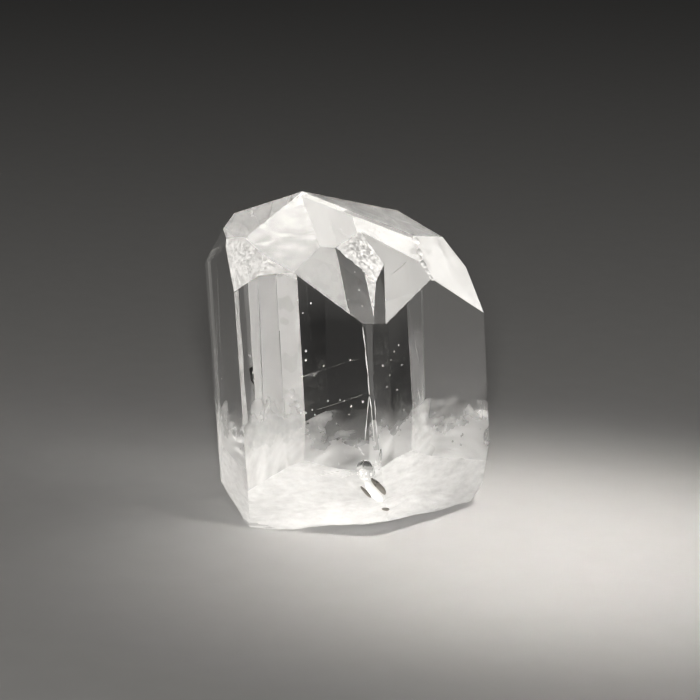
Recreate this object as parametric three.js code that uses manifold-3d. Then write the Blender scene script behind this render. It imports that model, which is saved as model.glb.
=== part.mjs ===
// A single phenakite crystal, broken off at its foot: a stubby six-sided prism that leans a little
// and ends in a many-faceted, one-sided roof. Millimetres, +Z up, standing on z = 0.
import * as THREE from "three";
import { mergeVertices } from "three/addons/utils/BufferGeometryUtils.js";
import Module from "manifold-3d";

const wasm = await Module();
wasm.setup();

// Driving dimensions. Every flat face is placed by three values: turn, the degrees round the long
// axis from the front (-Y) towards the left (-X); tilt, the degrees between the face's outward
// normal and the long axis; and reach, its distance from the heart of the crystal in millimetres.
const LEAN = 3.2; // degrees that the long axis leans from upright, towards -X
const HEART_HEIGHT = 4.62; // from the resting face up to the heart
const PRISM_TURN = 14; // turn of the front left prism face
const BLANK_SIZE = 14; // the block that the faces are cut from
const CHIP_DETAIL = 11; // how finely the hollow of a large chip is divided
const NICK_DETAIL = 2; // and that of a small nick

const PRISM = [
  { name: "left", turn: PRISM_TURN + 60, tilt: 90, reach: 3.87 },
  { name: "front left", turn: PRISM_TURN, tilt: 90, reach: 3.67 },
  { name: "front right", turn: PRISM_TURN - 60, tilt: 90, reach: 3.15 },
  { name: "right", turn: PRISM_TURN - 120, tilt: 90, reach: 3.79 },
  { name: "back right", turn: PRISM_TURN + 180, tilt: 90, reach: 3.56 },
  { name: "back left", turn: PRISM_TURN + 120, tilt: 90, reach: 3.42 },
  { name: "worn front edge", turn: -20.5, tilt: 88.5, reach: 3.84 },
];

// The faces of the roof that every growth step shares.
const ROOF = [
  { name: "broad pale face", turn: -19, tilt: 35, reach: 4.21 },
  { name: "etched left corner", turn: 29, tilt: 67.5, reach: 4.85 },
  { name: "left sliver", turn: 16, tilt: 69, reach: 4.6 },
  { name: "left slope", turn: 39.5, tilt: 19.5, reach: 5.1 },
  { name: "left shoulder", turn: 77, tilt: 77, reach: 4.56 },
  { name: "right shoulder", turn: -74.5, tilt: 54.5, reach: 3.83 },
  { name: "striated back slope", turn: -94, tilt: 25, reach: 4.06 },
  { name: "back left shoulder", turn: 96.5, tilt: 55, reach: 5.07 },
  { name: "back roof", turn: 154, tilt: 34.5, reach: 4.1 },
  { name: "back right shoulder", turn: -118, tilt: 61, reach: 4.27 },
];

// The front left growth step, whose faces come down over the worn front edge.
const FRONT_STEP = [
  { name: "front corner", turn: -31.5, tilt: 47, reach: 3.77 },
  { name: "front corner strip", turn: -54, tilt: 60, reach: 3.275 },
  { name: "frosted corner", turn: -40.5, tilt: 44, reach: 3.685 },
];

// The right growth step, higher over the front right prism face.
const RIGHT_STEP = [
  { name: "right window", turn: -20, tilt: 46.5, reach: 3.65 },
];

// The long top that lies over both of those steps.
const LONG_TOP = [{ name: "long top", turn: -36.5, tilt: 36.5, reach: 3.89 }];

// The crest behind both, which stands a little proud along its ridge.
const CREST_STEP = [{ name: "crest riser", turn: -20.5, tilt: 51, reach: 3.32 }];

// Flat breaks at the foot, placed the same way about the upright through the heart.
const BREAKS = [
  { name: "resting face", turn: 0, tilt: 180, reach: HEART_HEIGHT },
  { name: "front underside", turn: -27.5, tilt: 168.5, reach: 4.9 },
  { name: "front right underside", turn: -30, tilt: 161, reach: 5.18 },
  { name: "left underside", turn: 100, tilt: 167.5, reach: 5.09 },
  { name: "right corner", turn: -100, tilt: 102, reach: 4.59 },
  { name: "right corner foot", turn: -100, tilt: 132, reach: 5.53 },
  { name: "back corner foot", turn: 170, tilt: 125, reach: 5.39 },
];

// Shell-shaped chips: an egg-shaped hollow by its centre (height from the resting face), its three
// half sizes, and roll, the degrees that its top leans towards +X.
const FOOT_CHIPS = [
  { name: "front edge chip", centre: [0.62, -4.08, 1.95], radii: [0.55, 0.42, 0.95], roll: -12 },
  { name: "back right chip", centre: [3.0, 6.2, -0.5], radii: [4.6, 3.9, 5.2], roll: 0 },
  { name: "back left chip", centre: [-3.9, 5.0, -0.6], radii: [3.6, 3.4, 3.2], roll: 0 },
];
const EDGE_CHIPS = [
  { name: "shoulder nick 1", centre: [2.0, -0.83, 8.19], radii: [0.16, 0.22, 0.16], roll: 0 },
  { name: "shoulder nick 2", centre: [2.08, -1.24, 7.92], radii: [0.12, 0.2, 0.14], roll: 0 },
  { name: "shoulder nick 3", centre: [2.17, -1.66, 7.65], radii: [0.14, 0.18, 0.16], roll: 0 },
  { name: "shoulder nick 4", centre: [2.3, -1.8, 7.47], radii: [0.12, 0.14, 0.14], roll: 0 },
  { name: "shoulder nick 5", centre: [2.42, -1.92, 7.32], radii: [0.12, 0.13, 0.15], roll: 0 },
];

const UPRIGHT = new THREE.Quaternion();
const LEANING = new THREE.Quaternion().setFromAxisAngle(
  new THREE.Vector3(0, 1, 0),
  THREE.MathUtils.degToRad(-LEAN),
);

const crystalMaterial = new THREE.MeshStandardMaterial({
  name: "clear crystal",
  color: 0xf2f4f2,
  roughness: 0.05,
  metalness: 0,
  transparent: true,
  opacity: 0.4,
});

// A closed geometry as a solid that can be cut and joined.
function solidFrom(geometry) {
  const bare = geometry.clone();
  bare.deleteAttribute("normal");
  bare.deleteAttribute("uv");
  const merged = mergeVertices(bare, 1e-5);
  return new wasm.Manifold(
    new wasm.Mesh({
      numProp: 3,
      vertProperties: merged.attributes.position.array,
      triVerts: new Uint32Array(merged.index.array),
    }),
  );
}

// A solid as a drawable geometry.
function geometryFrom(solid) {
  const mesh = solid.getMesh();
  const geometry = new THREE.BufferGeometry();
  const position = new THREE.BufferAttribute(Float32Array.from(mesh.vertProperties), 3);
  geometry.setAttribute("position", position);
  geometry.setIndex(new THREE.BufferAttribute(Uint32Array.from(mesh.triVerts), 1));
  return geometry;
}

// The outward normal of a face, as a unit vector from the heart.
function faceNormal({ turn, tilt }) {
  const around = THREE.MathUtils.degToRad(turn);
  const down = THREE.MathUtils.degToRad(tilt);
  return new THREE.Vector3(
    -Math.sin(around) * Math.sin(down),
    -Math.cos(around) * Math.sin(down),
    Math.cos(down),
  );
}

// The block of waste that lies outside a face, with the frame of its values turned as asked.
function wasteOutside(face, turned) {
  const block = new THREE.BoxGeometry(3 * BLANK_SIZE, 3 * BLANK_SIZE, 2 * BLANK_SIZE);
  block.translate(0, 0, BLANK_SIZE + face.reach);
  const outward = faceNormal(face).applyQuaternion(turned);
  const up = new THREE.Vector3(0, 0, 1);
  block.applyQuaternion(new THREE.Quaternion().setFromUnitVectors(up, outward));
  return solidFrom(block);
}

// A solid cut down by a list of faces.
function cutByFaces(solid, faces, turned) {
  return faces.reduce((left, face) => left.subtract(wasteOutside(face, turned)), solid);
}

// The egg-shaped hollow of a chip, placed about the heart.
function hollow({ centre, radii, roll }, detail) {
  const egg = new THREE.IcosahedronGeometry(1, detail);
  egg.scale(...radii);
  egg.rotateY(THREE.MathUtils.degToRad(roll));
  egg.translate(centre[0], centre[1], centre[2] - HEART_HEIGHT);
  return solidFrom(egg);
}

// One growth step of the crystal: the shared faces and its own.
function growthStep(ownFaces) {
  const blank = solidFrom(new THREE.BoxGeometry(BLANK_SIZE, BLANK_SIZE, BLANK_SIZE));
  return cutByFaces(blank, [...PRISM, ...ROOF, ...ownFaces], LEANING);
}

const steps = [[...FRONT_STEP, ...LONG_TOP], [...RIGHT_STEP, ...LONG_TOP], CREST_STEP];
const grown = steps.map(growthStep).reduce((joined, step) => joined.add(step));
const broken = cutByFaces(grown, BREAKS, UPRIGHT);
const chips = [
  ...FOOT_CHIPS.map((chip) => hollow(chip, CHIP_DETAIL)),
  ...EDGE_CHIPS.map((nick) => hollow(nick, NICK_DETAIL)),
];
const crystal = chips.reduce((left, chip) => left.subtract(chip), broken);

// Standing on z = 0 with the middle of its outline over the origin.
const geometry = geometryFrom(crystal);
geometry.computeBoundingBox();
const middle = geometry.boundingBox.getCenter(new THREE.Vector3());
geometry.translate(-middle.x, -middle.y, -geometry.boundingBox.min.z);

const group = new THREE.Group();
const crystalMesh = new THREE.Mesh(geometry, crystalMaterial);
crystalMesh.name = "crystal";
group.add(crystalMesh);

export default group;
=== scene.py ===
"""A loose phenakite crystal: a stubby clear prism with a one-sided roof and a broken foot.

The crystal is worked on the bench in millimetres, standing on z = 0 in the part's own frame, and
is set to metres when it is done. Every flat face is placed by three values: turn, the degrees
round the long axis from the front (-Y) towards the left (-X); tilt, the degrees between the
face's outward normal and the long axis; and reach, its distance from the heart of the crystal.
"""

from __future__ import annotations

import logging
import math
from collections.abc import Callable, Iterable
from dataclasses import dataclass, field
from enum import Enum

import bpy
from mathutils import Matrix, Quaternion, Vector, noise

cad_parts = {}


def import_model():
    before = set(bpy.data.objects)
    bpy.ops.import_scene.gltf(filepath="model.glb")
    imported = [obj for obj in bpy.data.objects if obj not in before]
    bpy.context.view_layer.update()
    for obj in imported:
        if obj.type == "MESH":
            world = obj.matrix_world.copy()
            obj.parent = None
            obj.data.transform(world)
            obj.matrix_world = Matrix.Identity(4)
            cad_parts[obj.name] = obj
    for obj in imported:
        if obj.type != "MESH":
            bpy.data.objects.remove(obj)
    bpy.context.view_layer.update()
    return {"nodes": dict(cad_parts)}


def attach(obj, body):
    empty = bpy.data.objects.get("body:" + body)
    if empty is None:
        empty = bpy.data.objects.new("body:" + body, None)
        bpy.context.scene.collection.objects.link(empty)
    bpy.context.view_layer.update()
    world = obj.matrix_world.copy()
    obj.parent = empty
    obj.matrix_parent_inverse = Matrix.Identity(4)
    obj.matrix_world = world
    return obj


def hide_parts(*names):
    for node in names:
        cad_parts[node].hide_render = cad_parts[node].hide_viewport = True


LOG = logging.getLogger("phenakite")

Pair = tuple[float, float]
Triple = tuple[float, float, float]
Relief = Callable[[float, float], float]  # the height of a surface at a place on it
Tree = bpy.types.NodeTree
Socket = bpy.types.NodeSocket

MM = 0.001  # metres in a millimetre
HEART = Vector((0.0667, 0.008, 4.62))  # the heart of the crystal above the resting face, mm
LEAN = 3.2  # degrees that the long axis leans from upright, towards -X
PRISM_TURN = 14.0  # turn of the front left prism face
BLANK_SIZE = 14.0  # the block that the faces are cut from, mm
FLATTENED = 0.67  # how much X counts in the distance from where the shell fracture started
WIDE = (0.32, 0.68)  # the noise values between which most of a pattern lies
FROST_SEED, MILK_SEED, BORDER_SEED = 3.0, 11.0, 23.0  # so that the three patterns differ
BORDER_SIZE = 0.7  # millimetres between two bays of the border where the frost fades out
BORDER_WANDER = 0.5  # and how far the bays reach up and down, mm
FOOT_GRAIN = ((0.14, 1.5, 0.0), (0.06, 0.5, 3.0), (0.03, 0.2, 7.0))  # depth and size in mm, seed
FOOT_GAP = 0.03  # how far the grain of the foot stays off the floor at least, mm


class Skin(Enum):
    """The kinds of surface that the crystal shows, by the names of their materials."""

    CLEAR = "clear_face"
    SATIN = "satin_face"
    ETCHED = "etched_face"
    STRIATED = "striated_face"
    MATT = "matt_shoulder"
    FROSTED = "frosted_right_face"
    ROLLED = "rolled_back_face"
    BROKEN = "broken_foot"
    SHELL = "shell_fracture"
    SCRATCH = "fine_scratch"
    # The crevice skin is painted shade: its dark brown colour stands in for the darkness seen in
    # narrow slots, not a colour of the stone.
    CREVICE = "dark_crevice"


Materials = dict[Skin, bpy.types.Material]


# ---- Bench tools ---------------------------------------


def pick(piece: bpy.types.Object) -> None:
    """Deselects everything, then selects one piece and makes it active.

    Args:
        piece: The object to work on.
    """
    if bpy.context.mode != "OBJECT":
        bpy.ops.object.mode_set(mode="OBJECT")
    bpy.ops.object.select_all(action="DESELECT")
    piece.select_set(True)
    bpy.context.view_layer.objects.active = piece


def settle(piece: bpy.types.Object) -> None:
    """Puts a piece's place, turn and scale into its mesh, so that its object sits at the origin.

    Args:
        piece: The object to settle.
    """
    pick(piece)
    bpy.ops.object.transform_apply(location=True, rotation=True, scale=True)


def apply_modifiers(piece: bpy.types.Object) -> None:
    """Applies every modifier on a piece, in order.

    Args:
        piece: The object whose modifiers are applied.
    """
    pick(piece)
    for name in [m.name for m in piece.modifiers]:
        bpy.ops.object.modifier_apply(modifier=name)


def combine(target: bpy.types.Object, tool: bpy.types.Object, operation: str) -> None:
    """Cuts or joins a target with a tool body, and throws the tool away.

    Args:
        target: The piece that is kept.
        tool: The closed body that it is cut by or joined with.
        operation: "DIFFERENCE" or "UNION".
    """
    step = target.modifiers.new("combine", "BOOLEAN")
    step.operation = operation
    step.solver = "MANIFOLD"
    step.object = tool
    step.material_mode = "TRANSFER"
    apply_modifiers(target)
    bpy.data.objects.remove(tool, do_unlink=True)


def outward(piece: bpy.types.Object) -> None:
    """Turns every face of a closed piece outwards.

    Args:
        piece: The closed mesh object.
    """
    pick(piece)
    bpy.ops.object.mode_set(mode="EDIT")
    bpy.ops.mesh.select_all(action="SELECT")
    bpy.ops.mesh.normals_make_consistent(inside=False)
    bpy.ops.object.mode_set(mode="OBJECT")


def mould(piece: bpy.types.Object, push: Callable[[Vector], Vector]) -> None:
    """Moves each point of a piece by what a shaping function gives for it.

    Args:
        piece: The mesh object, settled or not.
        push: Takes a point and gives the vector to add to it.
    """
    for vertex in piece.data.vertices:
        vertex.co += push(vertex.co.copy())
    piece.data.update()


def upright_normal(turn: float, tilt: float) -> Vector:
    """Gives the outward normal of a face about an upright axis.

    Args:
        turn: Degrees round the axis from -Y towards -X.
        tilt: Degrees between the normal and the axis.

    Returns:
        The unit vector.
    """
    around, down = math.radians(turn), math.radians(tilt)
    return Vector(
        (-math.sin(around) * math.sin(down), -math.cos(around) * math.sin(down), math.cos(down))
    )


LEANING = Quaternion(Vector((0.0, 1.0, 0.0)), math.radians(-LEAN))


def waves(point: Vector, size: float, seed: float = 0.0) -> float:
    """Gives smooth random relief from -1 to 1.

    Args:
        point: Where it is read.
        size: Rough distance between two humps, in the point's units.
        seed: Moves to another patch of the same kind of relief.

    Returns:
        The height of the relief.
    """
    return noise.noise(point / size + Vector((seed, 3.7 * seed, -1.3 * seed)))


# ---- Finishes ------------------------------------------


def new_node(tree: Tree, kind: str, **values: object) -> bpy.types.Node:
    """Adds a node and sets its inputs.

    Args:
        tree: The node tree.
        kind: What kind of node it is.
        values: The values by the names of the inputs, with _ for each space.

    Returns:
        The new node.
    """
    made = tree.nodes.new(kind)
    for name, value in values.items():
        made.inputs[name.replace("_", " ")].default_value = value
    return made


@dataclass(frozen=True)
class StoneFinish:
    """One kind of surface on the stone: clear, satin, etched or broken, all of the same crystal."""

    colour: Triple = (1.0, 1.0, 1.0)
    ior: float = 1.66
    roughness: Pair = (0.0, 0.03)
    roughness_size: float = 0.6  # millimetres between the cloudy patches of roughness
    see_through: Pair = (1.0, 1.0)
    milk_size: float = 0.8  # millimetres between the milky patches
    milk_between: Pair = WIDE  # the noise values between which it clears
    detail: float = 6.0  # how ragged the patches are
    arcs: Triple | None = None  # where milky arcs spread from, mm
    arc_gap: float = 0.35  # millimetres between the arcs
    clear_above: Pair | None = None  # heights in mm over which the frost fades out
    clear_roughness: float = 0.05  # what the roughness fades to there
    bump_size: float = 0.25  # millimetres between the humps of the fine relief
    bump_height: float = 0.0  # how deep the fine relief is, mm

    def build(self, name: str) -> bpy.types.Material:
        """Builds the node material.

        Args:
            name: The material's name.

        Returns:
            The new material.
        """
        made = bpy.data.materials.new(name)
        made.use_nodes = True
        tree = made.node_tree
        tree.nodes.clear()
        out = new_node(tree, "ShaderNodeOutputMaterial")
        shader = new_node(
            tree, "ShaderNodeBsdfPrincipled", Base_Color=(*self.colour, 1.0), IOR=self.ior,
            Transmission_Weight=self.see_through[1],
        )
        tree.links.new(shader.outputs["BSDF"], out.inputs["Surface"])
        where = new_node(tree, "ShaderNodeTexCoord")
        place = new_node(tree, "ShaderNodeMapping", Scale=(1 / MM, 1 / MM, 1 / MM))
        tree.links.new(where.outputs["Object"], place.inputs["Vector"])
        spot = place.outputs["Vector"]
        frost = self._patches(tree, spot, self.roughness_size, self.roughness, FROST_SEED)
        clear = None
        if self.clear_above is not None:
            clear = self._fade(tree, spot, self.clear_above)
            frost = self._mix(tree, clear, frost, self.clear_roughness)
        tree.links.new(frost, shader.inputs["Roughness"])
        if self.see_through[0] < self.see_through[1]:
            milk = self._patches(
                tree, spot, self.milk_size, self.see_through, MILK_SEED, self.milk_between
            )
            if self.arcs is not None:
                cloud = milk.node.inputs["Value"].links[0].from_node
                tree.links.new(self._arcs(tree, spot, self.arcs), cloud.inputs["W"])
            if clear is not None:
                milk = self._mix(tree, clear, milk, 1.0)
            tree.links.new(milk, shader.inputs["Transmission Weight"])
        if self.bump_height > 0:
            tree.links.new(self._relief(tree, where.outputs["Object"]), shader.inputs["Normal"])
        return made

    def _patches(
        self, tree: Tree, spot: Socket, size: float, low_high: Pair, seed: float,
        between: Pair = WIDE,
    ) -> Socket:
        """Gives a value that wanders between two limits over the surface.

        Args:
            tree: The node tree.
            spot: The place in millimetres.
            size: Millimetres between patches.
            low_high: The two limits.
            seed: Moves the pattern, so that two of them differ.
            between: The noise values between which it goes from one limit to the other.

        Returns:
            The value's socket.
        """
        cloud = new_node(
            tree, "ShaderNodeTexNoise", Scale=1 / size, Detail=self.detail, Roughness=0.6
        )
        cloud.noise_dimensions = "4D"
        cloud.inputs["W"].default_value = seed
        spread = new_node(
            tree, "ShaderNodeMapRange", From_Min=between[0], From_Max=between[1],
            To_Min=low_high[0], To_Max=low_high[1],
        )
        tree.links.new(spot, cloud.inputs["Vector"])
        tree.links.new(cloud.outputs["Fac"], spread.inputs["Value"])
        return spread.outputs["Result"]

    def _arcs(self, tree: Tree, spot: Socket, centre: Triple) -> Socket:
        """Gives the distance from a centre, in arc gaps, so that a pattern over it forms arcs.

        Args:
            tree: The node tree.
            spot: The place in millimetres.
            centre: The centre in millimetres.

        Returns:
            The value's socket.
        """
        flat = (FLATTENED / self.arc_gap, 1 / self.arc_gap, 1 / self.arc_gap)
        shift = new_node(
            tree, "ShaderNodeMapping", Scale=flat,
            Location=tuple(-c * f for c, f in zip(centre, flat)),
        )
        far = new_node(tree, "ShaderNodeVectorMath")
        far.operation = "LENGTH"
        tree.links.new(spot, shift.inputs["Vector"])
        tree.links.new(shift.outputs["Vector"], far.inputs[0])
        return far.outputs["Value"]

    def _fade(self, tree: Tree, spot: Socket, heights: Pair) -> Socket:
        """Gives 0 under the lower height and 1 over the upper one, with a wandering border.

        Args:
            tree: The node tree.
            spot: The place in millimetres.
            heights: The two heights in millimetres.

        Returns:
            The value's socket.
        """
        split = new_node(tree, "ShaderNodeSeparateXYZ")
        tree.links.new(spot, split.inputs["Vector"])
        bays = (-BORDER_WANDER, BORDER_WANDER)
        ragged = self._patches(tree, spot, BORDER_SIZE, bays, BORDER_SEED)
        add = new_node(tree, "ShaderNodeMath")
        add.operation = "ADD"
        tree.links.new(split.outputs["Z"], add.inputs[0])
        tree.links.new(ragged, add.inputs[1])
        ramp = new_node(tree, "ShaderNodeMapRange", From_Min=heights[0], From_Max=heights[1])
        ramp.interpolation_type = "SMOOTHSTEP"
        tree.links.new(add.outputs["Value"], ramp.inputs["Value"])
        return ramp.outputs["Result"]

    def _mix(self, tree: Tree, share: Socket, below: Socket, above: float) -> Socket:
        """Blends a value towards a fixed one by a share.

        Args:
            tree: The node tree.
            share: 0 keeps the value, 1 gives the fixed one.
            below: The value.
            above: The fixed value.

        Returns:
            The blended value's socket.
        """
        mix = new_node(tree, "ShaderNodeMix")
        mix.data_type = "FLOAT"
        mix.inputs["B"].default_value = above
        tree.links.new(share, mix.inputs["Factor"])
        tree.links.new(below, mix.inputs["A"])
        return mix.outputs["Result"]

    def _relief(self, tree: Tree, place: Socket) -> Socket:
        """Gives the normal of the fine relief.

        Args:
            tree: The node tree.
            place: The object coordinates in metres.

        Returns:
            The normal's socket.
        """
        turn = new_node(
            tree, "ShaderNodeMapping", Rotation=(0.0, math.radians(LEAN), 0.0),
            Scale=(1 / MM, 1 / MM, 1 / MM),
        )
        grain = new_node(tree, "ShaderNodeTexNoise", Scale=1 / self.bump_size, Detail=4.0)
        bump = new_node(tree, "ShaderNodeBump", Strength=1.0, Distance=self.bump_height * MM)
        tree.links.new(place, turn.inputs["Vector"])
        tree.links.new(turn.outputs["Vector"], grain.inputs["Vector"])
        tree.links.new(grain.outputs["Fac"], bump.inputs["Height"])
        return bump.outputs["Normal"]


@dataclass(frozen=True)
class StoneFinishes:
    """The finishes of the crystal's surfaces, one for each skin, by the skin's name."""

    clear: StoneFinish = StoneFinish(roughness=(0.0, 0.012))
    satin: StoneFinish = StoneFinish(roughness=(0.1, 0.2), bump_size=0.3, bump_height=0.0012)
    etched: StoneFinish = StoneFinish(
        roughness=(0.3, 0.5), see_through=(0.35, 0.9), milk_size=0.09,
        milk_between=(0.36, 0.56), detail=2.0, bump_size=0.06, bump_height=0.003,
    )
    striated: StoneFinish = StoneFinish(roughness=(0.04, 0.2))
    matt: StoneFinish = StoneFinish(
        roughness=(0.28, 0.42), see_through=(0.55, 0.75), milk_size=0.6, detail=1.5
    )
    frosted: StoneFinish = StoneFinish(
        roughness=(0.24, 0.34), see_through=(0.26, 0.44), milk_size=0.6, detail=1.5
    )
    rolled: StoneFinish = StoneFinish(roughness=(0.0, 0.02))
    broken: StoneFinish = StoneFinish(
        roughness=(0.4, 0.6), see_through=(0.0, 0.4), milk_size=0.5, bump_size=0.18,
        bump_height=0.006, clear_above=(0.5, 2.0), clear_roughness=0.2,
    )
    shell: StoneFinish = StoneFinish(
        roughness=(0.3, 0.5), see_through=(0.0, 0.8), milk_size=2.4, detail=3.0,
        arcs=(1.49, 3.36, 0.32), arc_gap=0.3, clear_above=(0.8, 3.0), clear_roughness=0.0,
    )
    scratch: StoneFinish = StoneFinish(
        roughness=(0.4, 0.6), see_through=(0.1, 0.5), milk_size=0.2
    )
    # Painted shade: this dark brown colour stands in for the dark surroundings that the slots and
    # one scratch show, not a colour of the stone.
    crevice: StoneFinish = StoneFinish(
        colour=(0.16, 0.145, 0.125), roughness=(0.25, 0.5), see_through=(0.1, 0.5),
        milk_size=0.15,
    )

    def build(self) -> Materials:
        """Builds them all, and gives the materials by skin."""
        return {skin: getattr(self, skin.name.lower()).build(skin.value) for skin in Skin}


@dataclass(frozen=True)
class FloorFinish:
    """The matt pale grey of the floor, faintly mottled."""

    grey: Pair = (0.58, 0.62)  # the darkest and the palest patches
    mottle: float = 900.0  # patches in a metre
    roughness: float = 0.75
    specular: float = 0.2

    def build(self) -> bpy.types.Material:
        """Builds the node material.

        Returns:
            The new material.
        """
        made = bpy.data.materials.new("pale_floor")
        made.use_nodes = True
        tree = made.node_tree
        shader = tree.nodes["Principled BSDF"]
        shader.inputs["Roughness"].default_value = self.roughness
        shader.inputs["Specular IOR Level"].default_value = self.specular
        cloud = new_node(tree, "ShaderNodeTexNoise", Scale=self.mottle, Detail=3.0)
        ramp = new_node(tree, "ShaderNodeMapRange", To_Min=self.grey[0], To_Max=self.grey[1])
        blend = new_node(tree, "ShaderNodeCombineColor")
        where = new_node(tree, "ShaderNodeTexCoord")
        tree.links.new(where.outputs["Object"], cloud.inputs["Vector"])
        tree.links.new(cloud.outputs["Fac"], ramp.inputs["Value"])
        for part in ("Red", "Green", "Blue"):
            tree.links.new(ramp.outputs["Result"], blend.inputs[part])
        tree.links.new(blend.outputs["Color"], shader.inputs["Base Color"])
        return made


# ---- The crystal ---------------------------------------


@dataclass(frozen=True)
class Facet:
    """One flat face of the crystal."""

    name: str
    turn: float  # degrees
    tilt: float  # degrees
    reach: float  # mm

    def normal(self) -> Vector:
        """Gives the outward normal, leaning with the crystal."""
        return LEANING @ upright_normal(self.turn, self.tilt)

    def middle(self) -> Vector:
        """Gives the face's point that is nearest to the heart."""
        return HEART + self.normal() * self.reach


@dataclass(frozen=True)
class Break(Facet):
    """A flat break at the foot, placed about the upright through the heart."""

    def normal(self) -> Vector:
        """Gives the outward normal, upright."""
        return upright_normal(self.turn, self.tilt)

    def height(self, x: float, y: float) -> float:
        """Gives the height of the break over a place on the floor.

        Args:
            x: How far to the right the place is, mm.
            y: How far to the back, mm.

        Returns:
            The height in millimetres.
        """
        normal, at = self.normal(), self.middle()
        return at.z - ((x - at.x) * normal.x + (y - at.y) * normal.y) / normal.z


LEFT_FACE = Facet("left", PRISM_TURN + 60, 90, 3.87)
FRONT_LEFT_FACE = Facet("front left", PRISM_TURN, 90, 3.67)
FRONT_RIGHT_FACE = Facet("front right", PRISM_TURN - 60, 90, 3.15)
RIGHT_FACE = Facet("right", PRISM_TURN - 120, 90, 3.79)
BACK_RIGHT_FACE = Facet("back right", PRISM_TURN + 180, 90, 3.62)
UPPER_WORN_EDGE = Facet("upper worn front edge", -22, 88.4, 3.82)
LOWER_WORN_EDGE = Facet("lower worn front edge", -20.5, 92.2, 3.873)
BACK_LEFT_FACE = Facet("back left", PRISM_TURN + 120, 90, 3.42)
BACK_STRIP = Facet("narrow back strip", PRISM_TURN + 132, 90, 3.65)
PRISM = (
    LEFT_FACE,
    FRONT_LEFT_FACE,
    FRONT_RIGHT_FACE,
    RIGHT_FACE,
    BACK_RIGHT_FACE,
    BACK_STRIP,
    BACK_LEFT_FACE,
    UPPER_WORN_EDGE,
    LOWER_WORN_EDGE,
)
BROAD_FACE = Facet("broad pale face", -19, 35, 4.21)
ETCHED_CORNER = Facet("etched left corner", 29, 67.5, 4.85)
LEFT_SLIVER = Facet("left sliver", 16, 69, 4.6)
LEFT_SLOPE = Facet("left slope", 39.5, 19.5, 5.1)
RIGHT_SHOULDER = Facet("right shoulder", -74.5, 54.5, 3.83)
BACK_SLOPE = Facet("striated back slope", -94, 25, 4.06)
ROOF = (
    BROAD_FACE,
    ETCHED_CORNER,
    LEFT_SLIVER,
    LEFT_SLOPE,
    Facet("left shoulder", 77, 77, 4.56),
    RIGHT_SHOULDER,
    BACK_SLOPE,
    Facet("back left shoulder", 96.5, 55, 5.07),
    Facet("back roof", 154, 34.5, 4.1),
    Facet("back right shoulder", -118, 61, 4.27),
)
FROSTED_CORNER = Facet("frosted corner", -40.5, 44, 3.685)
FRONT_CORNER = Facet("front corner", -31.5, 47, 3.77)
FRONT_STEP = (
    FRONT_CORNER,
    Facet("front corner strip", -54, 60, 3.275),
    FROSTED_CORNER,
)
RIGHT_WINDOW = Facet("right window", -20, 46.5, 3.65)
RIGHT_STEP = (RIGHT_WINDOW,)
LONG_TOP_FACE = Facet("long top", -36.5, 36.5, 3.89)
LONG_TOP = (LONG_TOP_FACE,)
CREST_STEP = (Facet("crest riser", -20.5, 51, 3.32),)
RESTING_FACE = Break("resting face", 0, 180, HEART.z)
UNDERSIDES = (
    Break("front underside", -27.5, 168.5, 4.9),
    Break("front right underside", -30, 161, 5.18),
    Break("left underside", 100, 167.5, 5.09),
    Break("back underside", 182, 160, 4.77),
)
RIGHT_CORNER = Break("right corner", -100, 102, 4.59)
RIGHT_CORNER_FOOT = Break("right corner foot", -100, 132, 5.53)
BACK_CORNER_FOOT = Break("back corner foot", 170, 125, 5.39)


def laid_on(facet: Facet, centre: Pair, turned: float = 0.0) -> Matrix:
    """Gives the matrix that lays a body on a face, with its second side up the face.

    Args:
        facet: The face.
        centre: Where the body's middle goes, mm across and up the face from its middle.
        turned: Degrees that the body is turned in the plane of the face.

    Returns:
        The matrix.
    """
    normal = facet.normal()
    side = Vector((0.0, 0.0, 1.0)).cross(normal)
    side = Vector((1.0, 0.0, 0.0)) if side.length < 1e-6 else side.normalized()
    rise = normal.cross(side)
    laid = Matrix((side, rise, normal)).transposed().to_4x4()
    middle = facet.middle() + side * centre[0] + rise * centre[1]
    return Matrix.Translation(middle) @ laid @ Matrix.Rotation(math.radians(turned), 4, "Z")


def pitted(depth: float, size: float, seed: float) -> Relief:
    """Gives the relief of an etched or broken face, always a little below its plane.

    Args:
        depth: From the highest to the lowest places, mm.
        size: Rough distance between two pits, mm.
        seed: Makes two faces differ.

    Returns:
        A function of the place on the face.
    """
    middle, broad, fine = 0.62, 0.4, 0.22  # shares of the depth
    finer = 0.45 * size

    def relief(x: float, y: float) -> float:
        """Gives the depth of the face at a place, from broad pits with finer ones in them."""
        at = Vector((x, y, 0.0))
        return depth * (
            middle + broad * waves(at, size, seed) + fine * waves(at, finer, seed + 0.5)
        )

    return relief


def conchoidal(
    under: Relief, depth: float, ripple: float, gap: float, blow: Pair, fade: Pair
) -> Relief:
    """Gives the relief of a shell-shaped fracture that runs out smoothly into its face.

    Args:
        under: The relief of the face that it starts from.
        depth: How deep the hollow is at its foot, mm.
        ripple: How deep the rings in it are, mm.
        gap: How far apart the rings are, mm.
        blow: Where the rings spread from, across and up the slab, mm.
        fade: Distances from there over which the hollow runs out, mm.

    Returns:
        A function of the place on the face.
    """
    wander = 0.2  # how far the border of the hollow wanders, mm
    clear_of_face = 0.004  # how far the slab stays off the face beyond that border, mm

    def relief(x: float, y: float) -> float:
        """Gives the depth of the face at a place.

        Args:
            x: The place across the slab, mm.
            y: The place up the slab, mm.

        Returns:
            The depth in millimetres.
        """
        at = Vector((x, y, 0.0))
        far = math.hypot(FLATTENED * (x - blow[0]), y - blow[1])
        far += wander * waves(at, 1.2, 3.0)
        share = min(1.0, max(0.0, (fade[1] - far) / (fade[1] - fade[0])))
        share = share * share * (3 - 2 * share)
        rings = math.sin(2 * math.pi * far / gap) * (0.6 + 0.4 * waves(at, 0.8, 5.0))
        return under(x, y) + share * (depth + ripple * rings) - clear_of_face

    return relief


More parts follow.
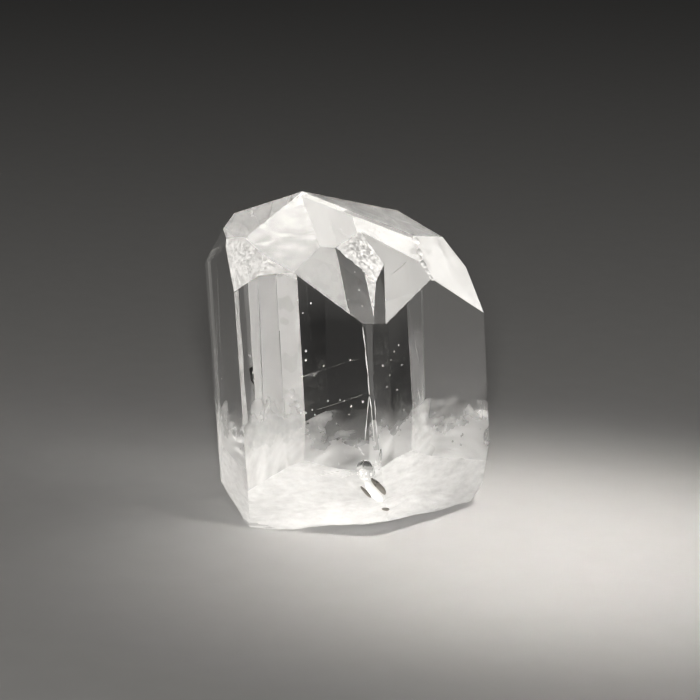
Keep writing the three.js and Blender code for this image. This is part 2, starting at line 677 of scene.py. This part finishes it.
def rolled(depth: float, start: float, slope: float, bend: float) -> Relief:
    """Gives the relief of a face that is flat up to a place, and then turns outwards a little.

    Args:
        depth: How far the flat part lies under the slab's middle plane, mm.
        start: Where the face starts to turn, mm across it.
        slope: How much it then rises, mm for each mm.
        bend: Over what width it turns, mm.

    Returns:
        A function of the place on the face.
    """

    def relief(x: float, y: float) -> float:
        """Gives the depth of the face at a place, which turns about the start."""
        along = x - start
        return depth - slope * bend * math.log1p(math.exp(along / bend))

    return relief


def striped(depth: float, size: float, seed: float) -> Relief:
    """Gives the relief of a face with straight growth stripes along its second side.

    Args:
        depth: From the highest to the lowest stripes, mm.
        size: Rough width of a stripe, mm.
        seed: Makes two faces differ.

    Returns:
        A function of the place on the face.
    """
    middle, broad, fine = 0.62, 0.35, 0.3  # shares of the depth
    drawn_out = 0.04  # how much a step along the stripes counts

    def relief(x: float, y: float) -> float:
        """Gives the depth of the face at a place, which hardly changes along the stripes."""
        at = Vector((x, drawn_out * y, 0.0))
        return depth * (
            middle + broad * waves(at, 3 * size, seed) + fine * waves(at, size, seed + 0.5)
        )

    return relief


@dataclass
class RoughCut:
    """A slab with one uneven side that takes a thin layer off a face and leaves it rough."""

    name: str
    facet: Facet
    skin: Skin
    centre: Pair  # middle of the slab across and up the face, mm from its middle
    size: Pair  # how wide and high the slab is, mm
    spacing: Pair  # between the points of its uneven side, mm
    relief: Relief  # height towards the crystal at a place on the slab
    turned: float = 0.0  # degrees that the slab is turned in the plane of its face
    thickness: float = 4.0  # how thick the slab is, mm

    def build(self, materials: Materials) -> bpy.types.Object:
        """Builds the slab.

        Args:
            materials: The crystal's materials by skin.

        Returns:
            The closed slab, in the part's frame.
        """
        across = max(4, round(self.size[0] / self.spacing[0]))
        upward = max(4, round(self.size[1] / self.spacing[1]))
        bpy.ops.object.select_all(action="DESELECT")
        bpy.ops.mesh.primitive_grid_add(
            x_subdivisions=across, y_subdivisions=upward, size=1.0, location=(0, 0, 0)
        )
        slab = bpy.context.object
        slab.name = self.name
        slab.scale = (self.size[0], self.size[1], 1.0)
        settle(slab)
        mould(slab, lambda at: Vector((0.0, 0.0, -self.relief(at.x, at.y))))
        bpy.ops.object.mode_set(mode="EDIT")
        bpy.ops.mesh.select_all(action="SELECT")
        bpy.ops.mesh.extrude_region_move(
            TRANSFORM_OT_translate={"value": (0.0, 0.0, self.thickness)}
        )
        bpy.ops.transform.resize(value=(1.0, 1.0, 0.0))
        bpy.ops.object.mode_set(mode="OBJECT")
        slab.matrix_world = laid_on(self.facet, self.centre, self.turned)
        settle(slab)
        outward(slab)
        slab.data.materials.append(materials[self.skin])
        return slab


@dataclass
class Chip:
    """An egg-shaped hollow that is knocked out of the stone."""

    name: str
    centre: Triple  # mm, from below the heart
    radii: Triple  # mm
    skin: Skin
    roll: float = 0.0  # degrees that its top leans towards +X
    detail: int = 3  # how finely it is divided
    unevenness: float = 0.0  # slow unevenness of the hollow, mm

    def build(self, materials: Materials) -> bpy.types.Object:
        """Builds the body that knocks the chip off.

        Args:
            materials: The crystal's materials by skin.

        Returns:
            The closed body, in the part's frame.
        """
        bpy.ops.object.select_all(action="DESELECT")
        bpy.ops.mesh.primitive_ico_sphere_add(subdivisions=self.detail, radius=1.0)
        body = bpy.context.object
        body.name = self.name
        body.scale = self.radii
        settle(body)
        mould(body, lambda at: at.normalized() * (self.unevenness * waves(at, 1.2, 9.0)))
        body.rotation_euler = (0.0, math.radians(self.roll), 0.0)
        body.location = Vector(self.centre) + Vector((HEART.x, HEART.y, 0.0))
        settle(body)
        body.data.materials.append(materials[self.skin])
        return body


def nick(number: int, centre: Triple, radii: Triple) -> Chip:
    """Gives a small nick in the front edge of the right shoulder.

    Args:
        number: Its number, from the top.
        centre: Its middle, mm, from below the heart.
        radii: Its radii, mm.

    Returns:
        The nick.
    """
    return Chip(f"shoulder_nick_{number}", centre, radii, Skin.ETCHED, unevenness=0.02)


@dataclass(frozen=True)
class Mark:
    """A tiny pit or a fine groove in a face."""

    start: Pair  # mm across and up the face from its middle
    end: Pair
    width: float  # mm
    depth: float  # mm


@dataclass
class MarkedFace:
    """The pits and fine grooves of one face: small eggs and needles that are pressed into it."""

    name: str
    facet: Facet
    skin: Skin
    marks: tuple[Mark, ...]

    def build(self, materials: Materials) -> bpy.types.Object:
        """Builds the small bodies that are taken off the face.

        Args:
            materials: The crystal's materials by skin.

        Returns:
            All of them as one object, in the part's frame.
        """
        bodies = [self._body(mark) for mark in self.marks]
        pick(bodies[0])
        for body in bodies[1:]:
            body.select_set(True)
        bpy.ops.object.join()
        whole = bpy.context.object
        whole.name = self.name
        whole.data.materials.append(materials[self.skin])
        return whole

    def _body(self, mark: Mark) -> bpy.types.Object:
        """Builds the body of one mark.

        Args:
            mark: The pit or groove.

        Returns:
            The closed body, in its place.
        """
        start, end = Vector(mark.start), Vector(mark.end)
        middle, way = (start + end) / 2, end - start
        turned = math.degrees(math.atan2(way.y, way.x)) if way.length > 0 else 0.0
        bpy.ops.object.select_all(action="DESELECT")
        bpy.ops.mesh.primitive_ico_sphere_add(subdivisions=2, radius=1.0)
        body = bpy.context.object
        body.scale = ((way.length + mark.width) / 2, mark.width / 2, mark.depth)
        settle(body)
        slant, wobble = 0.1, 0.25  # shares of its width
        mould(body, lambda at: mark.width * Vector(
            (slant * at.y, wobble * waves(at, mark.width, at.x), 0.0)))
        body.matrix_world = laid_on(self.facet, (middle.x, middle.y), turned)
        settle(body)
        return body


def dots(places: Iterable[Pair], width: float) -> tuple[Mark, ...]:
    """Gives a pit at each of some places, each a little drawn out and of its own size.

    Args:
        places: The places on the face.
        width: How wide the pits are, mm.

    Returns:
        The pits.
    """
    made = []
    for x, y in places:
        drift = 0.6 * waves(Vector((7.0 * x, 5.0 * y, 1.0)), 1.0)
        size = width * (0.85 + 0.5 * waves(Vector((x, y, 0.0)), 0.31, 2.0))
        end, depth = (x + drift * size, y + 0.7 * drift * size), 0.4 * size
        made.append(Mark((x, y), end, size, depth))
    return tuple(made)


EDGE_CHIPS = (
    Chip("front_edge_spoon", (0.45, -3.92, 1.98), (0.28, 0.28, 0.36), Skin.ROLLED, -18.0, 4, 0.02),
    Chip("front_edge_tongue", (0.8, -3.93, 1.28), (0.19, 0.24, 0.62), Skin.SCRATCH, -38.0, 4, 0.02),
    Chip("front_edge_loop", (0.86, -3.74, 2.32), (0.05, 0.09, 0.32), Skin.ROLLED, 6.0),
    Chip("front_edge_glint_1", (0.75, -3.82, 2.28), (0.035, 0.07, 0.06), Skin.SCRATCH),
    Chip("front_edge_glint_2", (0.72, -3.86, 2.02), (0.035, 0.07, 0.11), Skin.SCRATCH, 5.0),
    # The three slots take the crevice skin, whose dark colour is painted shade.
    Chip("front_edge_slot_1", (0.44, -3.88, 1.38), (0.055, 0.1, 0.27), Skin.CREVICE, -43.0),
    Chip("front_edge_slot_2", (0.86, -3.76, 1.47), (0.09, 0.16, 0.38), Skin.CREVICE, -41.0),
    Chip("front_edge_slot_3", (1.07, -3.67, 0.78), (0.05, 0.1, 0.17), Skin.CREVICE, -75.0),
)
SHOULDER_NICKS = (
    nick(1, (2.0, -0.83, 8.19), (0.16, 0.22, 0.16)),
    nick(2, (2.08, -1.24, 7.92), (0.12, 0.2, 0.14)),
    nick(3, (2.17, -1.66, 7.65), (0.14, 0.18, 0.16)),
    nick(4, (2.3, -1.8, 7.47), (0.12, 0.14, 0.14)),
    nick(5, (2.42, -1.92, 7.32), (0.12, 0.13, 0.15)),
)
MARKED_FACES = (
    MarkedFace("front_left_pits", FRONT_LEFT_FACE, Skin.SCRATCH, (
        *dots([(-0.38, 0.89), (-0.38, 0.62), (1.3, -0.5), (-0.39, -0.95), (-0.54, -0.96),
               (0.9, -2.63), (0.58, -2.4)], 0.065),
        *dots([(0.15, 0.48), (-0.5, 0.14), (-0.6, 2.37), (-0.46, 2.0), (-0.22, 2.3), (0.92, 0.7),
               (0.94, -0.67), (0.89, -0.91), (-0.21, -0.85), (-0.12, -0.99), (0.51, -1.21),
               (-0.54, -1.41), (-0.34, -1.64), (-0.13, -1.71), (0.14, -2.12), (0.26, -0.55),
               (0.62, -0.5), (0.74, -0.52), (0.81, -2.21), (0.76, -2.03), (1.39, -1.77)], 0.042),
        Mark((1.16, -1.87), (1.24, -1.95), 0.045, 0.02),
        Mark((1.27, -2.02), (1.32, -2.08), 0.045, 0.02),
        Mark((-0.05, -2.82), (0.61, -2.62), 0.035, 0.015),
        Mark((0.6, -2.83), (1.08, -2.65), 0.03, 0.015),
    )),
    MarkedFace("front_left_scratches", FRONT_LEFT_FACE, Skin.CLEAR, (
        Mark((-0.5, 0.11), (0.8, 0.64), 0.018, 0.004),
        Mark((0.84, 0.65), (1.24, 0.76), 0.024, 0.006),
        Mark((-0.09, -0.84), (0.88, -0.47), 0.018, 0.004),
        Mark((0.92, -0.45), (1.28, -0.29), 0.024, 0.006),
        Mark((-1.77, 2.98), (-1.65, -1.49), 0.022, 0.008),
    )),
    MarkedFace("front_edge_line", UPPER_WORN_EDGE, Skin.SCRATCH, (
        Mark((-1.12, 1.46), (-1.04, 0.79), 0.03, 0.012),
        Mark((-1.05, 0.82), (-0.98, 0.03), 0.036, 0.014),
        Mark((-0.98, 0.06), (-0.95, -0.56), 0.03, 0.012),
    )),
    MarkedFace("front_edge_line_end", LOWER_WORN_EDGE, Skin.SCRATCH, (
        Mark((-0.86, -0.3), (-0.79, -0.69), 0.03, 0.012),
        Mark((-0.8, -0.66), (-0.7, -1.68), 0.024, 0.01),
    )),
    MarkedFace("front_edge_left_branch", FRONT_LEFT_FACE, Skin.SCRATCH, (
        Mark((1.47, -0.32), (1.4, -1.04), 0.02, 0.008),
        Mark((1.4, -1.02), (1.35, -1.67), 0.024, 0.01),
    )),
    MarkedFace("front_edge_right_branch", FRONT_RIGHT_FACE, Skin.SCRATCH, (
        Mark((-2.27, -0.64), (-2.25, -1.23), 0.02, 0.008),
        Mark((-2.25, -1.21), (-2.19, -1.89), 0.024, 0.01),
    )),
    MarkedFace("front_right_pits", FRONT_RIGHT_FACE, Skin.SCRATCH, dots(
        [(-1.2, 0.78), (-1.89, 0.29), (-1.55, 0.4), (-1.1, 0.17), (-1.61, -0.03), (-1.33, -0.52),
         (-1.06, -1.17), (-1.4, 0.62), (-1.75, -0.35)], 0.042)),
    MarkedFace("right_window_pits", RIGHT_WINDOW, Skin.SCRATCH,
               dots([(1.5, -0.54), (1.2, -0.62), (0.16, -0.54)], 0.05)),
    # This scratch takes the crevice skin, whose dark colour is painted shade.
    MarkedFace("right_window_scratch", RIGHT_WINDOW, Skin.CREVICE,
               (Mark((0.5, 0.29), (1.08, 0.7), 0.018, 0.006),)),
    MarkedFace("front_corner_pits", FRONT_CORNER, Skin.ETCHED,
               dots([(-1.15, 0.44), (-0.88, 0.44), (-1.25, -0.17), (-1.36, -0.71), (-1.72, -0.45)],
                    0.06)),
    MarkedFace("long_top_pits", LONG_TOP_FACE, Skin.SCRATCH,
               dots([(-1.01, 1.37), (-0.96, 1.07), (0.17, 2.22), (-0.64, 2.33)], 0.035)),
    MarkedFace("left_face_lines", LEFT_FACE, Skin.CLEAR, (
        Mark((-0.07, 3.13), (-0.68, -1.24), 0.022, 0.006),
        Mark((-0.57, 1.87), (-1.31, -2.04), 0.022, 0.006),
    )),
)


@dataclass
class Crystal:
    """The whole stone: three growth steps in one, worn, etched, and broken at its foot."""

    materials: Materials
    edge_wear: float = 0.02  # width of the narrow worn band along each edge, mm
    wear_angle: float = 4.0  # degrees under which an edge stays as it is
    smooth_angle: float = 14.0  # degrees under which an uneven surface looks smooth
    hollow: float = 0.25  # how far the middle of the broken foot arches up, mm
    hollow_reach: Pair = (3.4, 2.6)  # half the width and depth of the arch, mm
    hollow_middle: float = -0.3  # where its middle is, to the back, mm
    hollow_rim: float = 1.3  # how softly it ends, 1 for a plain bowl
    body: bpy.types.Object | None = field(default=None, init=False)

    def build(self) -> bpy.types.Object:
        """Makes the crystal from its growth steps to its last scratch.

        Returns:
            The finished piece, in metres, at the origin.
        """
        front = self._step("front_growth_step", (*PRISM, *ROOF, *FRONT_STEP, *LONG_TOP))
        self._knock(front, self._frosted_corner_cut())
        right = self._step("right_growth_step", (*PRISM, *ROOF, *RIGHT_STEP, *LONG_TOP))
        crest = self._step("crest_growth_step", (*PRISM, *ROOF, *CREST_STEP))
        combine(front, right, "UNION")
        combine(front, crest, "UNION")
        self.body = front
        self.body.name = "phenakite_crystal"
        self._wear_edges()
        for cut in self._rough_cuts():
            self._knock(self.body, cut)
        for mark in (*SHOULDER_NICKS, *EDGE_CHIPS, *MARKED_FACES):
            self._knock(self.body, mark)
        self._shade()
        self._to_metres()
        return self.body

    def _knock(self, piece: bpy.types.Object, tool: RoughCut | Chip | MarkedFace) -> None:
        """Takes the shape of a tool off a piece, and reports it.

        Args:
            piece: The piece that is cut.
            tool: What is taken off.
        """
        combine(piece, tool.build(self.materials), "DIFFERENCE")
        LOG.info("%s done, %d faces", tool.name, len(piece.data.polygons))

    def _step(self, name: str, facets: Iterable[Facet]) -> bpy.types.Object:
        """Cuts one growth step from a block.

        Args:
            name: The step's name.
            facets: Its faces.

        Returns:
            The closed solid.
        """
        bpy.ops.object.select_all(action="DESELECT")
        bpy.ops.mesh.primitive_cube_add(size=BLANK_SIZE, location=HEART)
        step = bpy.context.object
        step.name = name
        settle(step)
        self._bisect(step, facets)
        step.data.materials.append(self.materials[Skin.CLEAR])
        return step

    def _bisect(self, piece: bpy.types.Object, facets: Iterable[Facet]) -> None:
        """Cuts a piece by the planes of faces, and keeps what lies inside.

        Args:
            piece: The closed solid.
            facets: The faces to cut it by.
        """
        pick(piece)
        bpy.ops.object.mode_set(mode="EDIT")
        for facet in facets:
            bpy.ops.mesh.select_all(action="SELECT")
            bpy.ops.mesh.bisect(
                plane_co=facet.middle(), plane_no=facet.normal(), use_fill=True,
                clear_outer=True, threshold=1e-5,
            )
        bpy.ops.object.mode_set(mode="OBJECT")

    def _wear_edges(self) -> None:
        """Takes a narrow band off every edge."""
        wear = self.body.modifiers.new("edge wear", "BEVEL")
        wear.width = self.edge_wear
        wear.segments = 1
        wear.limit_method = "ANGLE"
        wear.angle_limit = math.radians(self.wear_angle)
        wear.use_clamp_overlap = True
        apply_modifiers(self.body)

    def _frosted_corner_cut(self) -> RoughCut:
        """Gives the slab for the frosted corner of the front growth step."""
        return RoughCut("frosted_corner_cut", FROSTED_CORNER, Skin.ETCHED, (-1.0, 0.81),
                        (1.9, 2.3), (0.03, 0.03), pitted(0.012, 0.15, 1.0))

    def _rough_cuts(self) -> list[RoughCut]:
        """Gives the slabs for the rough faces and the foot.

        Returns:
            The slabs, in the order in which they are taken off.
        """
        turned_out = rolled(0.06, 0.9, 0.0524, 0.06)
        return [
            RoughCut("etched_left_corner_cut", ETCHED_CORNER, Skin.ETCHED, (-1.28, 1.57),
                     (1.9, 2.1), (0.025, 0.025), pitted(0.006, 0.13, 2.0)),
            RoughCut("left_sliver_cut", LEFT_SLIVER, Skin.ETCHED, (-1.06, 1.79),
                     (1.4, 1.0), (0.03, 0.03), pitted(0.012, 0.12, 3.0)),
            RoughCut("broad_face_cut", BROAD_FACE, Skin.SATIN, (-2.4, 0.95),
                     (2.7, 3.8), (0.06, 0.06), pitted(0.004, 0.35, 4.0)),
            RoughCut("right_shoulder_cut", RIGHT_SHOULDER, Skin.MATT, (0.41, 0.07),
                     (3.8, 3.7), (0.04, 0.12), striped(0.003, 0.25, 5.0), turned=12.0),
            RoughCut("back_slope_cut", BACK_SLOPE, Skin.STRIATED, (1.0, 0.84),
                     (4.6, 5.2), (0.03, 0.5), striped(0.02, 0.11, 6.0), turned=-5.7),
            RoughCut("right_face_cut", RIGHT_FACE, Skin.FROSTED, (-0.13, -1.08),
                     (3.7, 7.4), (0.035, 0.5), striped(0.006, 0.16, 7.0)),
            RoughCut("right_corner_cut", RIGHT_CORNER, Skin.BROKEN, (0.24, -2.53),
                     (4.4, 2.4), (0.07, 0.07), pitted(0.05, 0.5, 8.0)),
            RoughCut("right_corner_foot_cut", RIGHT_CORNER_FOOT, Skin.BROKEN, (0.59, -1.33),
                     (5.6, 3.0), (0.07, 0.07), pitted(0.06, 0.5, 9.0)),
            RoughCut("back_corner_foot_cut", BACK_CORNER_FOOT, Skin.SHELL, (-0.79, -1.83),
                     (5.0, 3.0), (0.08, 0.08), pitted(0.05, 0.6, 10.0)),
            RoughCut("back_left_face_cut", BACK_LEFT_FACE, Skin.SHELL, (0.0, -0.97),
                     (7.6, 9.8), (0.1, 0.3), pitted(0.006, 1.6, 11.0)),
            RoughCut("back_strip_cut", BACK_STRIP, Skin.SHELL, (0.0, -0.97),
                     (5.0, 9.8), (0.1, 0.3), pitted(0.006, 1.6, 12.0)),
            RoughCut("back_right_face_cut", BACK_RIGHT_FACE, Skin.ROLLED, (0.0, -0.97),
                     (5.4, 9.6), (0.05, 0.5), turned_out),
            RoughCut("back_right_shell_cut", BACK_RIGHT_FACE, Skin.SHELL, (0.0, -3.2),
                     (5.4, 5.2), (0.05, 0.05), conchoidal(turned_out, 0.26, 0.014, 0.35,
                                                          (-0.57, -1.1), (0.4, 2.5))),
            RoughCut("foot_break", RESTING_FACE, Skin.BROKEN, (0.0, 0.0), (11.0, 10.0),
                     (0.09, 0.09), self._foot_height),
        ]

    def _foot_height(self, x: float, y: float) -> float:
        """Gives the height of the broken foot above the floor.

        Args:
            x: The place across the underside, seen from below, mm.
            y: The place up the underside, seen from below, mm.

        Returns:
            The height in millimetres.
        """
        right, back = HEART.x + x, HEART.y - y
        flat = max(0.0, *(face.height(right, back) for face in UNDERSIDES))
        wide, deep = self.hollow_reach
        out = min(1.0, (right / wide) ** 2 + ((back - self.hollow_middle) / deep) ** 2)
        arch = self.hollow * (1 - out) ** self.hollow_rim
        at = Vector((right, back, 0.0))
        grain = sum(depth * waves(at, size, seed) for depth, size, seed in FOOT_GRAIN)
        return max(0.0, flat + arch + grain * (0.5 + 0.5 * (1 - out)) + FOOT_GAP)

    def _shade(self) -> None:
        """Smooths the uneven surfaces, and leaves the flat faces and all their edges crisp."""
        pick(self.body)
        bpy.ops.object.shade_smooth_by_angle(angle=math.radians(self.smooth_angle))
        names = [slot.material.name for slot in self.body.material_slots]
        crisp = {i for i, name in enumerate(names) if name == self.materials[Skin.CLEAR].name}
        for face in self.body.data.polygons:
            face.use_smooth = face.material_index not in crisp

    def _to_metres(self) -> None:
        """Sets the finished body to metres."""
        self.body.scale = (MM, MM, MM)
        settle(self.body)


# ---- Studio --------------------------------------------


class Falls(Enum):
    """What a light falls on."""

    STONE = "stone"
    FLOOR = "floor"


@dataclass(frozen=True)
class SoftBox:
    """A square or oblong soft light. One that falls on the floor isn't seen in the stone."""

    name: str
    bearing: float  # degrees round from the front (-Y) towards the right (+X)
    height: float  # degrees above the floor
    radiance: float  # how bright its face is, watts per square metre and steradian
    falls: Falls = Falls.STONE
    distance: float = 0.15  # metres
    size: Pair = (0.055, 0.055)  # metres
    aim: Triple = (0.0, 0.0, 4.62)  # where it points, mm
    spread: float = 180.0  # degrees over which it throws its light
    colour: Triple = (1.0, 0.97, 0.92)

    def build(self, groups: dict[Falls, bpy.types.Collection]) -> bpy.types.Object:
        """Builds the light.

        Args:
            groups: The objects that a light may fall on, by kind.

        Returns:
            The light object.
        """
        data = bpy.data.lights.new(self.name, "AREA")
        data.shape = "RECTANGLE"
        data.size, data.size_y = self.size
        data.energy = self.radiance * math.pi * self.size[0] * self.size[1]
        data.spread = math.radians(self.spread)
        data.color = self.colour
        data.cycles.use_multiple_importance_sampling = self.falls is Falls.STONE
        light = bpy.data.objects.new(self.name, data)
        bpy.context.scene.collection.objects.link(light)
        around, up = math.radians(self.bearing), math.radians(self.height)
        way = Vector(
            (math.sin(around) * math.cos(up), -math.cos(around) * math.cos(up), math.sin(up))
        )
        light.location = Vector(self.aim) * MM + way * self.distance
        light.rotation_euler = way.to_track_quat("Z", "Y").to_euler()
        light.visible_camera = False
        light.light_linking.receiver_collection = groups[self.falls]
        return light


LIGHTS = (
    SoftBox("floor_key", 0, 17, 88.0, Falls.FLOOR, 0.16, (0.024, 0.024)),
    SoftBox("floor_fill", 60, 75, 1.15, Falls.FLOOR, 0.12, (0.014, 0.014), (6.5, -5.0, 0.0), 8.0),
    SoftBox("right_box", 60, 10, 20.0),
    SoftBox("back_right_box", 120, 10, 9.0),
    SoftBox("left_box", -60, 10, 13.0),
    SoftBox("back_box", 180, 59, 12.0, size=(0.055, 0.1)),
    SoftBox("back_right_top_box", 144, 50, 2.6),
    SoftBox("front_top_box", 0, 60, 8.5),
    SoftBox("front_low_box", 0, 12, 8.0),
    SoftBox("right_top_box", 60, 68, 6.5),
)


@dataclass
class Studio:
    """A plain pale floor, soft lights and the camera."""

    floor_size: float = 1.6  # metres
    floor_finish: FloorFinish = FloorFinish()
    ambient: float = 0.01  # how bright the surroundings are
    camera_height: float = 14.0  # degrees that the camera looks down
    camera_distance: float = 0.072  # metres
    film: float = 36.0  # width of the camera's frame, mm
    lens: float = 18 * 2400 / 350  # mm

    def build(self, crystal: bpy.types.Object) -> None:
        """Builds the floor, the lights, the surroundings and the camera.

        Args:
            crystal: The finished stone.
        """
        floor = self._floor()
        groups = {Falls.STONE: self._group("lit_stone", crystal),
                  Falls.FLOOR: self._group("lit_floor", floor)}
        for light in LIGHTS:
            light.build(groups)
        self._surroundings()
        self._camera()

    def _group(self, name: str, piece: bpy.types.Object) -> bpy.types.Collection:
        """Makes a group of one object for a light to fall on.

        Args:
            name: The group's name.
            piece: The object.

        Returns:
            The group.
        """
        group = bpy.data.collections.new(name)
        group.objects.link(piece)
        return group

    def _floor(self) -> bpy.types.Object:
        """Makes the plain pale floor.

        Returns:
            The floor object.
        """
        bpy.ops.object.select_all(action="DESELECT")
        bpy.ops.mesh.primitive_plane_add(size=self.floor_size, location=(0, 0, 0))
        floor = bpy.context.object
        floor.name = "floor"
        floor.data.materials.append(self.floor_finish.build())
        return floor

    def _surroundings(self) -> None:
        """Makes the dim, even surroundings."""
        world = bpy.data.worlds.new("studio")
        world.use_nodes = True
        shade = world.node_tree.nodes["Background"]
        shade.inputs["Color"].default_value = (0.8, 0.8, 0.8, 1.0)
        shade.inputs["Strength"].default_value = self.ambient
        bpy.context.scene.world = world
        bpy.context.scene.view_settings.view_transform = "Standard"

    def _camera(self) -> None:
        """Makes the camera that looks at the heart of the crystal."""
        data = bpy.data.cameras.new("camera")
        data.sensor_width = self.film
        data.lens = self.lens
        data.clip_start = 0.001
        data.clip_end = 10.0
        camera = bpy.data.objects.new("camera", data)
        bpy.context.scene.collection.objects.link(camera)
        down = math.radians(self.camera_height)
        back = Vector((0.0, -math.cos(down), math.sin(down)))
        camera.location = HEART * MM + back * self.camera_distance
        camera.rotation_euler = back.to_track_quat("Z", "Y").to_euler()
        bpy.context.scene.camera = camera


def main() -> None:
    """Builds the crystal and the studio, and reports each piece."""
    logging.basicConfig(level=logging.INFO, format="%(name)s: %(message)s")
    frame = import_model()
    LOG.info("loaded %s", ", ".join(sorted(frame["nodes"])))
    materials = StoneFinishes().build()
    crystal = Crystal(materials).build()
    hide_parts("crystal")
    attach(crystal, "root")
    LOG.info("crystal: %d faces", len(crystal.data.polygons))
    Studio().build(crystal)


if __name__ == "__main__":
    main()
